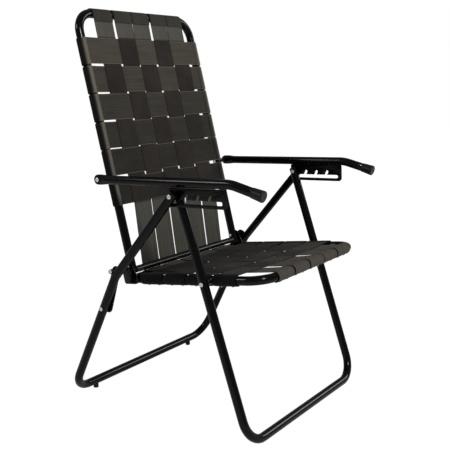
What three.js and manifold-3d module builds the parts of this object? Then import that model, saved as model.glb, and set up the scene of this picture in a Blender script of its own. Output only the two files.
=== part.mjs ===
// Folding webbed lawn chair with a back that reclines in four steps.
// Millimetres, +Z up, the sitter faces -Y, and the origin is under the middle of the box on the floor.
import * as THREE from "three";
import { mergeVertices } from "three/addons/utils/BufferGeometryUtils.js";
import Module from "manifold-3d";

const wasm = await Module();
wasm.setup();

// Driving sizes: tube, bar and webbing stock
const frameTube = 22;
const tubeWall = 1.2;
const crossBar = 16;
const strapWidth = 66.4;
const columnGap = 6.6;
const strapThickness = 1.2;
const rivetShank = 4.6;
const notchPin = 6;
const plateThickness = 2.4;

// Driving sizes: clearances
const fit = 0.3;
const plateClearance = 0.35;
const stopClearance = 0.5;
const overrun = 5;

// Driving sizes: widths, from the middle of the chair to the seat tube and outward from there
const seatHalfWidth = 224;
const legClearance = 16.4;
const armOutset = 8.7;

// Driving sizes: front legs, a U of tube whose floor bar rests on the floor
const notchPinHeight = 577.2;
const frontLegLean = degrees(19.48);
const notchPinForward = 55.4;
const seatPivotDrop = 212.9;
const frontFootBend = 58;
const tubePastPin = 9;

// Driving sizes: rear legs, a wider U that is cranked where the seat's stop studs bear on it
const rearLegUpperLength = 286.7;
const rearLegUpperLean = degrees(39.98);
const rearLegLowerLean = degrees(25.83);
const rearLegCrank = 90;
const rearFootBend = 58;
const glideHeight = 9.9;
const glideInset = 82;
const glideDiameter = 14;
const glideChamfer = 1;

// Driving sizes: seat, measured along its side tubes from the seat pivot
const seatSlope = degrees(8.08);
const seatFrontReach = 142;
const seatRearBarReach = 254;
const seatTubeTail = 9.5;
const seatCornerBend = 52;
const seatRowPitch = 74.4;
const seatRowMargin = 68;
const seatRows = 4;

// Driving sizes: hinge plate between seat and back, and the folding link
const hingeReach = 255;
const hingeRise = 35.7;
const stopAlongLeg = 2.8;
const stopStud = 12;
const linkPivotDrop = 96;
const linkWidth = 26;
const linkForward = 4;
const stopStudInset = 6;
const bracketEdge = 13;
const bracketFrontReach = 226;
const bracketTail = 18.5;

// Driving sizes: back, measured up its side tubes from the back hinge
const backLean = degrees(15.02);
const backHeight = 646.8;
const backCornerBend = 50;
const armPivotUp = 226.2;
const backTubeTail = 17.5;
const backBarDrop = 13;
const backRowPitch = 71.6;
const backRows = 6;

// Driving sizes: armrests and their notched plates, measured forward from the arm pivot
const armAbovePin = 30;
const armTail = 12.5;
const armFlatThickness = 13;
const armFlatHeight = 26.6;
const armFlatReach = 8;
const armPressReach = 34;
const armBendReach = 398;
const armDroop = degrees(16);
const armTipLength = 84;
const armBend = 95;
const armCapLength = 30;
const armCapWall = 0.9;
const armCapFlare = 1.5;
const armCapCrown = 4;
const notchPitch = 33.2;
const notchCount = 4;
const notchWidth = 7;
const notchSlant = 6.5;
const slotDrop = 43.5;
const slotWidth = 9;
const slotPastNotch = 29;
const plateDepth = 56;
const plateTail = 17;
const plateNose = 11;
const plateCorner = 9;

// Driving sizes: rivet heads, spacers and the crowns that close the tube ends
const rivetHead = 11;
const smallRivetHead = 8;
const rivetHeadHeight = 2.1;
const spacerDiameter = 12;
const endCrown = 2.5;
const endShoulder = 0.2;

// Columns of long straps: five centres at the top and bottom of the back, as shares of the column pitch
const columnTopShares = [-1.952, -0.924, 0.021, 1.068, 2.007];
const columnBottomShares = [-1.930, -1.006, -0.040, 0.951, 1.918];
const seatColumnShares = [-2, -1, 0, 1, 2];
const crownShare = 0.8;
const armCapCrownShares = [0.95, 0.8];

// Counts
const tubeSides = 12;
const roundSides = 16;
const bendSteps = 6;
const crankSteps = 3;
const halfTurnSteps = 6;
const sides = [-1, 1];
const sideNames = { "-1": "right", 1: "left" };

const finishes = {
  frame: { color: 0x121212, roughness: 0.32, metalness: 0.2 },
  strapAcross: { color: 0x45423c, roughness: 0.75, metalness: 0 },
  strapAlong: { color: 0x2e2925, roughness: 0.75, metalness: 0 },
  rivet: { color: 0xc9c9c6, roughness: 0.3, metalness: 1 },
  plastic: { color: 0x1d1a19, roughness: 0.5, metalness: 0 },
};

function degrees(value) {
  return THREE.MathUtils.degToRad(value);
}

// A point of the side view: x holds the distance back and y the height
function side(back, height) {
  return new THREE.Vector2(back, height);
}

function step(from, direction, length) {
  return from.clone().addScaledVector(direction, length);
}

function at(x, point) {
  return new THREE.Vector3(x, point.x, point.y);
}

function part(name, geometry, finish) {
  const mesh = new THREE.Mesh(geometry, new THREE.MeshStandardMaterial(finishes[finish]));
  mesh.name = name;
  return mesh;
}

// Values that follow from the driving sizes
const tubeRadius = frameTube / 2;
const boreRadius = tubeRadius - tubeWall;
const flatShare = Math.cos(Math.PI / tubeSides);
const shankRadius = rivetShank / 2;
const holeRadius = shankRadius + fit;
const strapRise = tubeRadius + (fit + strapThickness / 2) / flatShare;
const weaveLift = (strapThickness + fit) / 2;
const strapOuter = strapRise + strapThickness / 2;
const sideTube = { radius: tubeRadius, facing: 1 };
const columnPitch = strapWidth + columnGap;

const frontLegHalfWidth = seatHalfWidth + frameTube + legClearance;
const armHalfWidth = frontLegHalfWidth + armOutset;
const seatTubeReach = seatRearBarReach + seatTubeTail;
const seatInner = seatHalfWidth - tubeRadius;
const spacerFrom = seatHalfWidth + strapOuter + fit;
const bracketInner = seatHalfWidth + tubeRadius + fit;
const bracketOuter = bracketInner + plateThickness;
const plateInner = frontLegHalfWidth + tubeRadius + plateClearance;
const plateOuter = plateInner + plateThickness;
const rearLegInner = plateOuter + plateClearance;
const rearLegHalfWidth = rearLegInner + tubeRadius;

// The side view of the linkage at rest
const notchPinPoint = side(-notchPinForward, notchPinHeight);
const frontLegDown = side(-Math.sin(frontLegLean), -Math.cos(frontLegLean));
const frontBarHeight = tubeRadius * flatShare;
const frontLegLength = (notchPinHeight - frontBarHeight) / Math.cos(frontLegLean);
const frontFoot = step(notchPinPoint, frontLegDown, frontLegLength);
const seatPivot = step(notchPinPoint, frontLegDown, seatPivotDrop);

const seatBack = side(Math.cos(seatSlope), -Math.sin(seatSlope));
const seatUp = side(Math.sin(seatSlope), Math.cos(seatSlope));
const backHinge = step(step(seatPivot, seatBack, hingeReach), seatUp, hingeRise);
const backUp = side(Math.sin(backLean), Math.cos(backLean));
const armPivot = step(backHinge, backUp, armPivotUp);

const rearUpperDown = side(Math.sin(rearLegUpperLean), -Math.cos(rearLegUpperLean));
const rearUpperOut = side(Math.cos(rearLegUpperLean), Math.sin(rearLegUpperLean));
const rearLegCrankPoint = step(notchPinPoint, rearUpperDown, rearLegUpperLength);
const rearBarHeight = tubeRadius + fit + glideHeight;
const rearLowerDown = side(Math.sin(rearLegLowerLean), -Math.cos(rearLegLowerLean));
const rearLowerLength = (rearLegCrankPoint.y - rearBarHeight) / Math.cos(rearLegLowerLean);
const rearFoot = step(rearLegCrankPoint, rearLowerDown, rearLowerLength);
const linkLowerPivot = step(rearLegCrankPoint, rearLowerDown, linkPivotDrop);
const stopOffset = tubeRadius + stopStud / 2 + stopClearance;
const linkUpperPivot = step(step(rearLegCrankPoint, rearUpperOut, stopOffset), rearUpperDown, -stopAlongLeg);

const pinFromArmPivot = notchPinPoint.clone().sub(armPivot);
const pinReach = Math.sqrt(pinFromArmPivot.lengthSq() - armAbovePin ** 2);
const armTilt = Math.atan2(pinFromArmPivot.y, -pinFromArmPivot.x)
  + Math.asin(armAbovePin / pinFromArmPivot.length());

// A place of the side view in the seat's own frame, whose origin is the seat pivot
function inSeat(point) {
  const offset = point.clone().sub(seatPivot);
  return side(offset.dot(seatBack), offset.dot(seatUp));
}

// Corner points joined by arcs: each station holds a place and a heading
function roundedStations(corners, radii, steps) {
  const stations = [];
  const last = corners.length - 1;
  corners.forEach((corner, index) => {
    if (index === 0 || index === last) {
      const near = index === 0 ? corners[1].clone().sub(corner) : corner.clone().sub(corners[last - 1]);
      stations.push({ point: corner.clone(), heading: near.normalize() });
      return;
    }
    const arriving = corner.clone().sub(corners[index - 1]).normalize();
    const leaving = corners[index + 1].clone().sub(corner).normalize();
    const turn = arriving.angleTo(leaving);
    const setback = radii[index - 1] * Math.tan(turn / 2);
    const start = corner.clone().addScaledVector(arriving, -setback);
    const inward = leaving.clone().addScaledVector(arriving, -Math.cos(turn)).normalize();
    for (let count = 0; count <= steps[index - 1]; count += 1) {
      const angle = (turn * count) / steps[index - 1];
      const point = start.clone()
        .addScaledVector(arriving, radii[index - 1] * Math.sin(angle))
        .addScaledVector(inward, radii[index - 1] * (1 - Math.cos(angle)));
      const heading = arriving.clone().multiplyScalar(Math.cos(angle));
      heading.addScaledVector(inward, Math.sin(angle));
      stations.push({ point, heading });
    }
  });
  return stations;
}

// A path whose steps fall on chosen stations, so straight runs stay single
class StationPath extends THREE.Curve {
  constructor(stations) {
    super();
    this.stations = stations;
  }

  getPoint(share, target = new THREE.Vector3()) {
    const place = share * (this.stations.length - 1);
    const index = Math.min(Math.floor(place), this.stations.length - 2);
    return target.lerpVectors(this.stations[index].point, this.stations[index + 1].point, place - index);
  }

  getTangentAt(share, target = new THREE.Vector3()) {
    return target.copy(this.stations[Math.round(share * (this.stations.length - 1))].heading);
  }

  getSpacedPoints() {
    return this.stations.map((station) => station.point.clone());
  }
}

function ringPoints(radius, count, phase) {
  return Array.from({ length: count }, (unused, index) => {
    const angle = phase + (2 * Math.PI * index) / count;
    return new THREE.Vector2(radius * Math.cos(angle), radius * Math.sin(angle));
  });
}

function sectionAlong(stations, radius, phase) {
  const section = new THREE.Shape(ringPoints(radius, tubeSides, phase));
  section.holes.push(new THREE.Path(ringPoints(radius - tubeWall, tubeSides, phase)));
  const path = new StationPath(stations);
  return new THREE.ExtrudeGeometry(section, { steps: stations.length - 1, extrudePath: path });
}

function hollowTube(corners, radii, steps, radius = tubeRadius, phase = 0) {
  return sectionAlong(roundedStations(corners, radii, steps), radius, phase);
}

// The same tube with a low crown joined over each of its two ends
function closedTube(corners, radii, steps, phase = 0) {
  const stations = roundedStations(corners, radii, steps);
  const last = stations[stations.length - 1];
  const first = stations[0];
  const tube = toManifold(sectionAlong(stations, tubeRadius, phase));
  const backward = first.heading.clone().negate();
  const crowns = [endCrownAt(first.point, backward), endCrownAt(last.point, last.heading)];
  return fromManifold(crowns.reduce((solid, crown) => solid.add(toManifold(crown)), tube));
}

function endCrownAt(point, heading) {
  const radius = tubeRadius * flatShare - endShoulder;
  const skirt = [[0, -tubeWall], [radius, -tubeWall], [radius, endShoulder]];
  const profile = [...skirt, [radius * crownShare, endCrown], [0, endCrown]];
  const geometry = new THREE.LatheGeometry(profile.map(([r, h]) => new THREE.Vector2(r, h)), tubeSides);
  geometry.applyQuaternion(new THREE.Quaternion().setFromUnitVectors(new THREE.Vector3(0, 1, 0), heading));
  return geometry.translate(point.x, point.y, point.z);
}

function toManifold(geometry) {
  const bare = geometry.clone();
  bare.deleteAttribute("normal");
  bare.deleteAttribute("uv");
  const merged = mergeVertices(bare);
  const vertProperties = new Float32Array(merged.attributes.position.array);
  const triVerts = new Uint32Array(merged.index.array);
  return new wasm.Manifold(new wasm.Mesh({ numProp: 3, vertProperties, triVerts }));
}

function fromManifold(solid) {
  const mesh = solid.getMesh();
  const geometry = new THREE.BufferGeometry();
  geometry.setAttribute("position", new THREE.BufferAttribute(mesh.vertProperties, 3));
  geometry.setIndex(new THREE.BufferAttribute(mesh.triVerts, 1));
  return geometry;
}

function cut(geometry, cutters) {
  const carve = (solid, cutter) => solid.subtract(toManifold(cutter));
  return fromManifold(cutters.reduce(carve, toManifold(geometry)));
}

// A cylinder across the chair, from one x to another
function crossCylinder(radius, fromX, toX, point) {
  const geometry = new THREE.CylinderGeometry(radius, radius, toX - fromX, tubeSides);
  geometry.rotateZ(Math.PI / 2);
  return geometry.translate((fromX + toX) / 2, point.x, point.y);
}

// Holes across the tubes on both sides of the chair
function drilled(geometry, holes) {
  const reach = tubeRadius + overrun;
  const cutters = holes.flatMap((hole) => sides.map((end) => {
    const centre = end * hole.x;
    return crossCylinder(hole.radius, centre - reach, centre + reach, hole.point);
  }));
  return cut(geometry, cutters);
}

// A solid turned about the X direction from a profile of [radius, x] pairs
function turned(profile, point, end, count = roundSides) {
  const outline = profile.map(([radius, x]) => new THREE.Vector2(radius, x));
  const geometry = new THREE.LatheGeometry(outline, count);
  geometry.rotateZ(-Math.PI / 2);
  if (end < 0) geometry.rotateY(Math.PI);
  return geometry.translate(0, point.x, point.y);
}

// Rivet head outlines as shares of the head's radius and height
const headShares = [[1, 0], [1, 0.4], [0.7, 1]];

// A rivet across the chair; a head diameter of zero leaves that end plain
function rivet(fromX, toX, point, innerHead, outerHead, end, shank = shankRadius) {
  const headAt = (diameter, x, way) => headShares.map(
    ([wide, high]) => [wide * diameter / 2, x + way * high * rivetHeadHeight]);
  const inner = innerHead > 0 ? headAt(innerHead, fromX, -1) : [];
  const outer = outerHead > 0 ? headAt(outerHead, toX, 1) : [];
  const first = innerHead > 0 ? fromX - rivetHeadHeight : fromX;
  const last = outerHead > 0 ? toX + rivetHeadHeight : toX;
  const profile = [[0, first], ...inner.reverse(), [shank, fromX], [shank, toX], ...outer, [0, last]];
  return turned(profile, point, end);
}

// The post of an arm pivot: a head inside the back's tube, a shank, and a thick end that meets the arm
function pivotPost(fromX, shoulderX, toX, point, end) {
  const head = headShares.map(([wide, high]) => [wide * rivetHead / 2, fromX - high * rivetHeadHeight]);
  const thick = spacerDiameter / 2;
  const profile = [[0, fromX - rivetHeadHeight], ...head.reverse(), [shankRadius, fromX]];
  profile.push([shankRadius, shoulderX], [thick, shoulderX], [thick, toX], [0, toX]);
  return turned(profile, point, end);
}

function sleeve(fromX, toX, point, outer, bore, end) {
  const profile = [[bore, fromX], [outer, fromX], [outer, toX], [bore, toX], [bore, fromX]];
  return turned(profile, point, end);
}

// Plates: an outline in the side view, given thickness across the chair
function roundedOutline(corners, radii) {
  const count = corners.length;
  const outline = [];
  corners.forEach((corner, index) => {
    const around = [corners[(index + count - 1) % count], corner, corners[(index + 1) % count]];
    const points = around.map((point) => new THREE.Vector3(point.x, point.y, 0));
    const arc = roundedStations(points, [radii[index]], [crankSteps]).slice(1, -1);
    outline.push(...arc.map((station) => side(station.point.x, station.point.y)));
  });
  return outline;
}

// The outline drawn tight round a set of discs
function tightOutline(discs) {
  const points = discs.flatMap((disc) => (
    ringPoints(disc.radius, roundSides, 0).map((corner) => corner.add(disc.centre))));
  points.sort((one, other) => one.x - other.x || one.y - other.y);
  const turn = (a, b, c) => (b.x - a.x) * (c.y - a.y) - (b.y - a.y) * (c.x - a.x);
  const halfOutline = (list) => {
    const kept = [];
    for (const point of list) {
      while (kept.length > 1 && turn(kept[kept.length - 2], kept[kept.length - 1], point) <= 0) {
        kept.pop();
      }
      kept.push(point);
    }
    return kept.slice(0, -1);
  };
  return [...halfOutline(points), ...halfOutline([...points].reverse())];
}

function sidePlate(shape, innerX, outerX, end) {
  const geometry = new THREE.ExtrudeGeometry(shape, { depth: outerX - innerX, bevelEnabled: false });
  const basis = new THREE.Matrix4();
  basis.makeBasis(new THREE.Vector3(0, 1, 0), new THREE.Vector3(0, 0, 1), new THREE.Vector3(1, 0, 0));
  geometry.applyMatrix4(basis);
  return geometry.translate(end > 0 ? innerX : -outerX, 0, 0);
}

function roundHole(point, radius) {
  return new THREE.Path(ringPoints(radius, tubeSides, 0).map((corner) => corner.add(point)));
}

// An outline with a half circle round each of its two ends
function roundEndedOutline(from, to, width) {
  const angle = Math.atan2(to.y - from.y, to.x - from.x);
  const outline = [];
  for (const [centre, start] of [[to, angle - Math.PI / 2], [from, angle + Math.PI / 2]]) {
    for (let count = 0; count <= halfTurnSteps; count += 1) {
      const turn = start + (Math.PI * count) / halfTurnSteps;
      outline.push(step(centre, side(Math.cos(turn), Math.sin(turn)), width / 2));
    }
  }
  return outline;
}

// Webbing: the side outline of one strap, wrapped half round the bar at each end
// A bar facing 1 is passed in front and wrapped backward, a bar facing -1 the other way
function wrapPoints(centre, bar, toEnd) {
  const reach = bar.radius + (fit + strapThickness / 2) / flatShare;
  const points = [];
  for (let count = 0; count <= halfTurnSteps; count += 1) {
    const angle = Math.PI / 2 - (toEnd * Math.PI * count) / halfTurnSteps;
    points.push(side(centre + reach * Math.cos(angle), bar.facing * reach * Math.sin(angle)));
  }
  return points;
}

function strapGeometry(length, bars, crossings) {
  const path = wrapPoints(0, bars[0], -1).reverse();
  for (const crossing of crossings) {
    for (const edge of sides) {
      path.push(side(crossing.centre + edge * crossing.half, strapRise + crossing.lift * weaveLift));
    }
  }
  path.push(...wrapPoints(length, bars[1], 1));
  const upper = [];
  const lower = [];
  path.forEach((point, index) => {
    const before = path[Math.max(index - 1, 0)];
    const after = path[Math.min(index + 1, path.length - 1)];
    const heading = after.clone().sub(before).normalize();
    const normal = side(-heading.y, heading.x);
    upper.push(step(point, normal, strapThickness / 2));
    lower.push(step(point, normal, -strapThickness / 2));
  });
  const outline = new THREE.Shape([...lower, ...upper.reverse()]);
  const geometry = new THREE.ExtrudeGeometry(outline, { depth: strapWidth, bevelEnabled: false });
  return geometry.translate(0, 0, -strapWidth / 2);
}

// A long strap runs along its panel's Y and may lean in X; its crossings are places along Y
function longStrap(from, to, bars, crossings) {
  const length = to.y - from.y;
  const geometry = strapGeometry(length, bars, crossings);
  const run = new THREE.Vector3((to.x - from.x) / length, 1, 0);
  const basis = new THREE.Matrix4();
  basis.makeBasis(run, new THREE.Vector3(0, 0, 1), new THREE.Vector3(1, 0, 0));
  geometry.applyMatrix4(basis);
  return geometry.translate(from.x, from.y, 0);
}

// A cross strap runs from side tube to side tube; its crossings are places along X from the left end
function crossStrap(centreY, crossings) {
  const geometry = strapGeometry(2 * seatHalfWidth, [sideTube, sideTube], crossings);
  const basis = new THREE.Matrix4();
  basis.makeBasis(new THREE.Vector3(1, 0, 0), new THREE.Vector3(0, 0, 1), new THREE.Vector3(0, -1, 0));
  geometry.applyMatrix4(basis);
  return geometry.translate(-seatHalfWidth, centreY, 0);
}

// One woven panel: its rows cross its columns over and under by turns
function addWebbing(panel, name, rows, columns, from, to, bars) {
  const length = to - from;
  const columnX = (column, y) => {
    const share = (y - from) / length;
    return columnPitch * THREE.MathUtils.lerp(column.nearShare, column.farShare, share);
  };
  const over = (row, column) => ((row + column) % 2 === 0 ? 1 : -1);
  columns.forEach((column, index) => {
    const half = strapWidth / 2;
    const crossings = rows.map((y, row) => ({ centre: y - from, half, lift: -over(row, index) }));
    crossings.sort((one, other) => one.centre - other.centre);
    const ends = [side(columnX(column, from), from), side(columnX(column, to), to)];
    const geometry = longStrap(...ends, bars, crossings);
    panel.add(part(`${name}_strap_long_${index + 1}`, geometry, "strapAlong"));
  });
  rows.forEach((y, row) => {
    const crossings = columns.map((column, index) => {
      const slope = Math.abs(columnX(column, to) - columnX(column, from)) / length;
      const half = (strapWidth * (1 + slope) + fit) / 2;
      return { centre: columnX(column, y) + seatHalfWidth, half, lift: over(row, index) };
    });
    panel.add(part(`${name}_strap_cross_${row + 1}`, crossStrap(y, crossings), "strapAcross"));
  });
}

// Seat: its origin is the seat pivot, Y runs back along the side tubes and Z is up from them
function seatFrame() {
  const corners = [
    new THREE.Vector3(-seatHalfWidth, seatTubeReach, 0),
    new THREE.Vector3(-seatHalfWidth, -seatFrontReach, 0),
    new THREE.Vector3(seatHalfWidth, -seatFrontReach, 0),
    new THREE.Vector3(seatHalfWidth, seatTubeReach, 0),
  ];
  const tube = closedTube(corners, [seatCornerBend, seatCornerBend], [bendSteps, bendSteps]);
  return drilled(tube, [{ x: seatHalfWidth, point: side(0, 0), radius: holeRadius }]);
}

// A straight tube fixed between the two side tubes of a panel
function straightBar(radius, y) {
  const half = seatHalfWidth - tubeRadius - fit;
  const ends = sides.map((end) => new THREE.Vector3(end * half, y, 0));
  return hollowTube(ends, [], [], radius);
}

function hingeBracket(end) {
  const stud = inSeat(linkUpperPivot);
  const hinge = side(hingeReach, hingeRise);
  const lug = bracketEdge / 2;
  const discs = [
    { centre: side(bracketFrontReach + tubeRadius, 0), radius: tubeRadius },
    { centre: side(hingeReach + bracketTail - lug, lug - tubeRadius), radius: lug },
    { centre: stud, radius: bracketEdge },
    { centre: hinge, radius: bracketEdge },
  ];
  const shape = new THREE.Shape(tightOutline(discs));
  shape.holes.push(roundHole(hinge, holeRadius), roundHole(stud, holeRadius));
  return sidePlate(shape, bracketInner, bracketOuter, end);
}

// The stub that carries the seat end of the fold link: a thin shank in the bracket, then full width
function stopStub(end) {
  const shoulder = bracketOuter + fit;
  const last = plateInner - fit;
  const wide = stopStud / 2;
  const profile = [[0, bracketInner], [shankRadius, bracketInner], [shankRadius, shoulder]];
  profile.push([wide, shoulder], [wide, last], [0, last]);
  return turned(profile, inSeat(linkUpperPivot), end);
}

function makeSeat() {
  const seat = new THREE.Group();
  seat.position.copy(at(0, seatPivot));
  seat.rotation.x = -seatSlope;
  seat.add(part("seat_frame", seatFrame(), "frame"));
  seat.add(part("seat_rear_bar", straightBar(tubeRadius, seatRearBarReach), "frame"));
  for (const end of sides) {
    seat.add(part(`hinge_bracket_${sideNames[end]}`, hingeBracket(end), "frame"));
    seat.add(part(`fold_stub_${sideNames[end]}`, stopStub(end), "frame"));
  }
  const lastRow = seatRearBarReach - seatRowMargin;
  const rowPlace = (unused, row) => lastRow - (seatRows - 1 - row) * seatRowPitch;
  const rows = Array.from({ length: seatRows }, rowPlace);
  const columns = seatColumnShares.map((share) => ({ nearShare: share, farShare: share }));
  addWebbing(seat, "seat", rows, columns, -seatFrontReach, seatRearBarReach, [sideTube, sideTube]);
  return seat;
}

// Back: its origin is the back hinge, Y runs up the side tubes and Z looks to the front
function backFrame() {
  const corners = [
    new THREE.Vector3(-seatHalfWidth, -backTubeTail, 0),
    new THREE.Vector3(-seatHalfWidth, backHeight, 0),
    new THREE.Vector3(seatHalfWidth, backHeight, 0),
    new THREE.Vector3(seatHalfWidth, -backTubeTail, 0),
  ];
  const tube = closedTube(corners, [backCornerBend, backCornerBend], [bendSteps, bendSteps]);
  const places = [side(0, 0), side(armPivotUp, 0)];
  return drilled(tube, places.map((point) => ({ x: seatHalfWidth, point, radius: holeRadius })));
}

function makeBack() {
  const back = new THREE.Group();
  back.position.copy(at(0, backHinge));
  back.rotation.x = Math.PI / 2 - backLean;
  back.add(part("back_frame", backFrame(), "frame"));
  back.add(part("back_bottom_bar", straightBar(crossBar / 2, -backBarDrop), "frame"));
  const spacerTo = armHalfWidth - armFlatThickness / 2 - fit;
  for (const end of sides) {
    const post = pivotPost(seatInner - fit, spacerFrom, spacerTo, side(armPivotUp, 0), end);
    back.add(part(`arm_spacer_${sideNames[end]}`, post, "frame"));
  }
  const rowHeight = (unused, row) => armPivotUp + (backRows - 1.5 - row) * backRowPitch;
  const rows = Array.from({ length: backRows }, rowHeight);
  const columns = columnTopShares.map(
    (farShare, column) => ({ nearShare: columnBottomShares[column], farShare }));
  const bottomBar = { radius: crossBar / 2, facing: -1 };
  addWebbing(back, "back", rows, columns, -backBarDrop, backHeight, [bottomBar, sideTube]);
  return back;
}

// Front legs: one tube bent to a U, with the seat pivots and the inner halves of the notch pins
function makeFrontLegs() {
  const legs = new THREE.Group();
  const half = frontLegHalfWidth;
  const top = step(notchPinPoint, frontLegDown, -tubePastPin);
  const corners = [at(-half, top), at(-half, frontFoot), at(half, frontFoot), at(half, top)];
  const bends = [frontFootBend, frontFootBend];
  const flatDown = Math.PI / tubeSides + frontLegLean;
  const tube = closedTube(corners, bends, [bendSteps, bendSteps], flatDown);
  const holes = [
    { x: half, point: notchPinPoint, radius: notchPin / 2 + fit },
    { x: half, point: seatPivot, radius: holeRadius },
  ];
  legs.add(part("front_leg_frame", drilled(tube, holes), "frame"));
  const inner = half - tubeRadius;
  const outer = half + tubeRadius;
  for (const end of sides) {
    const spacer = sleeve(spacerFrom, inner - fit, seatPivot, spacerDiameter / 2, holeRadius, end);
    legs.add(part(`seat_pivot_spacer_${sideNames[end]}`, spacer, "frame"));
    const pivot = rivet(seatInner - fit, outer + fit, seatPivot, rivetHead, rivetHead, end);
    legs.add(part(`seat_pivot_rivet_${sideNames[end]}`, pivot, "rivet"));
    const pin = rivet(inner - fit, outer - fit, notchPinPoint, rivetHead, 0, end, notchPin / 2);
    legs.add(part(`notch_pin_inner_${sideNames[end]}`, pin, "rivet"));
  }
  return legs;
}

// Rear legs: a wider U of tube with a crank in each leg, on two glides
function makeRearLegs() {
  const legs = new THREE.Group();
  const half = rearLegHalfWidth;
  const top = step(notchPinPoint, rearUpperDown, -tubePastPin);
  const corners = [
    at(-half, top),
    at(-half, rearLegCrankPoint),
    at(-half, rearFoot),
    at(half, rearFoot),
    at(half, rearLegCrankPoint),
    at(half, top),
  ];
  const bends = [rearLegCrank, rearFootBend, rearFootBend, rearLegCrank];
  const tube = closedTube(corners, bends, [crankSteps, bendSteps, bendSteps, crankSteps]);
  const holes = [
    { x: half, point: notchPinPoint, radius: notchPin / 2 + fit },
    { x: half, point: linkLowerPivot, radius: holeRadius },
  ];
  legs.add(part("rear_leg_frame", drilled(tube, holes), "frame"));
  const outerFace = half + tubeRadius + fit;
  for (const end of sides) {
    const pin = rivet(rearLegInner + fit, outerFace, notchPinPoint, 0, rivetHead, end, notchPin / 2);
    legs.add(part(`notch_pin_outer_${sideNames[end]}`, pin, "rivet"));
    const pivot = rivet(plateInner, outerFace, linkLowerPivot, 0, rivetHead, end);
    legs.add(part(`link_lower_rivet_${sideNames[end]}`, pivot, "rivet"));
    legs.add(part(`rear_glide_${sideNames[end]}`, glide(end), "plastic"));
  }
  return legs;
}

// A round foot under the rear bar, its top hollowed to sit on the tube
function glide(end) {
  const radius = glideDiameter / 2;
  const top = rearBarHeight - radius;
  const sole = [[0, 0], [radius - glideChamfer, 0], [radius, glideChamfer]];
  const profile = [...sole, [radius, top], [0, top]];
  const foot = new THREE.LatheGeometry(profile.map(([r, h]) => new THREE.Vector2(r, h)), roundSides);
  foot.rotateX(Math.PI / 2);
  const centre = end * (rearLegHalfWidth - glideInset);
  foot.translate(centre, rearFoot.x, 0);
  const reach = radius + overrun;
  const bore = crossCylinder((tubeRadius + fit) / flatShare, centre - reach, centre + reach, rearFoot);
  return cut(foot, [bore]);
}

// Fold links between the seat brackets and the rear legs, with the studs that rest on the legs
function makeLinks() {
  const links = new THREE.Group();
  const outer = rearLegHalfWidth + tubeRadius - stopStudInset;
  const run = linkLowerPivot.clone().sub(linkUpperPivot).normalize();
  const linkFront = side(run.y, -run.x);
  for (const end of sides) {
    const ends = [linkUpperPivot, linkLowerPivot].map((point) => step(point, linkFront, linkForward));
    const shape = new THREE.Shape(roundEndedOutline(...ends, linkWidth));
    shape.holes.push(roundHole(linkUpperPivot, holeRadius), roundHole(linkLowerPivot, holeRadius));
    const link = sidePlate(shape, plateInner, plateOuter, end);
    links.add(part(`fold_link_${sideNames[end]}`, link, "frame"));
    const stud = sleeve(plateOuter + fit, outer, linkUpperPivot, stopStud / 2, holeRadius, end);
    links.add(part(`stop_stud_${sideNames[end]}`, stud, "frame"));
    const pivot = rivet(plateInner, outer + fit, linkUpperPivot, 0, rivetHead, end);
    links.add(part(`stop_stud_rivet_${sideNames[end]}`, pivot, "rivet"));
  }
  return links;
}

// Armrests: their origin is the arm pivot, -Y runs forward along the tube and Z is up
const armBendPoint = side(-armBendReach, 0);
const armHeading = side(-Math.cos(armDroop), -Math.sin(armDroop));
const armTip = step(armBendPoint, armHeading, armTipLength);

function armTube(x) {
  const straight = [at(x, side(-armPressReach, 0)), at(x, armBendPoint), at(x, armTip)];
  const stations = roundedStations(straight, [armBend], [bendSteps]);
  const forward = new THREE.Vector3(0, -1, 0);
  const places = [armTail, -armFlatReach, -(armFlatReach + armPressReach) / 2];
  const tail = places.map((back) => ({ point: at(x, side(back, 0)), heading: forward }));
  const tube = sectionAlong([...tail, ...stations], tubeRadius, 0);
  pressTail(tube, x);
  return cut(tube, [crossCylinder(holeRadius, x - frameTube, x + frameTube, side(0, 0))]);
}

// The pivot end is pressed thin and tall, and its tip is rounded in the side view
function pressTail(tube, x) {
  const places = tube.attributes.position;
  const roundness = armFlatHeight / 2 + fit;
  for (let index = 0; index < places.count; index += 1) {
    const y = places.getY(index);
    const pressed = THREE.MathUtils.smoothstep(y, -armPressReach, -armFlatReach);
    const thin = THREE.MathUtils.lerp(1, armFlatThickness / frameTube, pressed);
    const tall = THREE.MathUtils.lerp(1, armFlatHeight / frameTube, pressed);
    const z = places.getZ(index) * tall;
    const setback = roundness - Math.sqrt(roundness ** 2 - z ** 2);
    const place = y > fit ? y - setback : y;
    places.setXYZ(index, x + (places.getX(index) - x) * thin, place, z);
  }
}

function armCap(end) {
  const inner = tubeRadius + fit;
  const outer = inner + armCapWall + armCapFlare;
  const mouth = armCapCrown - armCapLength;
  const profile = [
    [inner, mouth],
    [inner + armCapWall, mouth],
    [outer, 0],
    [outer * armCapCrownShares[0], armCapCrown * armCapCrownShares[0] / 2],
    [outer * armCapCrownShares[1], armCapCrown],
    [0, armCapCrown],
    [0, fit],
    [inner, fit],
    [inner, mouth],
  ];
  const geometry = new THREE.LatheGeometry(profile.map(([r, h]) => new THREE.Vector2(r, h)), roundSides);
  const turn = new THREE.Quaternion().setFromUnitVectors(new THREE.Vector3(0, 1, 0), at(0, armHeading));
  geometry.applyQuaternion(turn);
  return geometry.translate(end * armHalfWidth, armTip.x, armTip.y);
}

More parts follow.
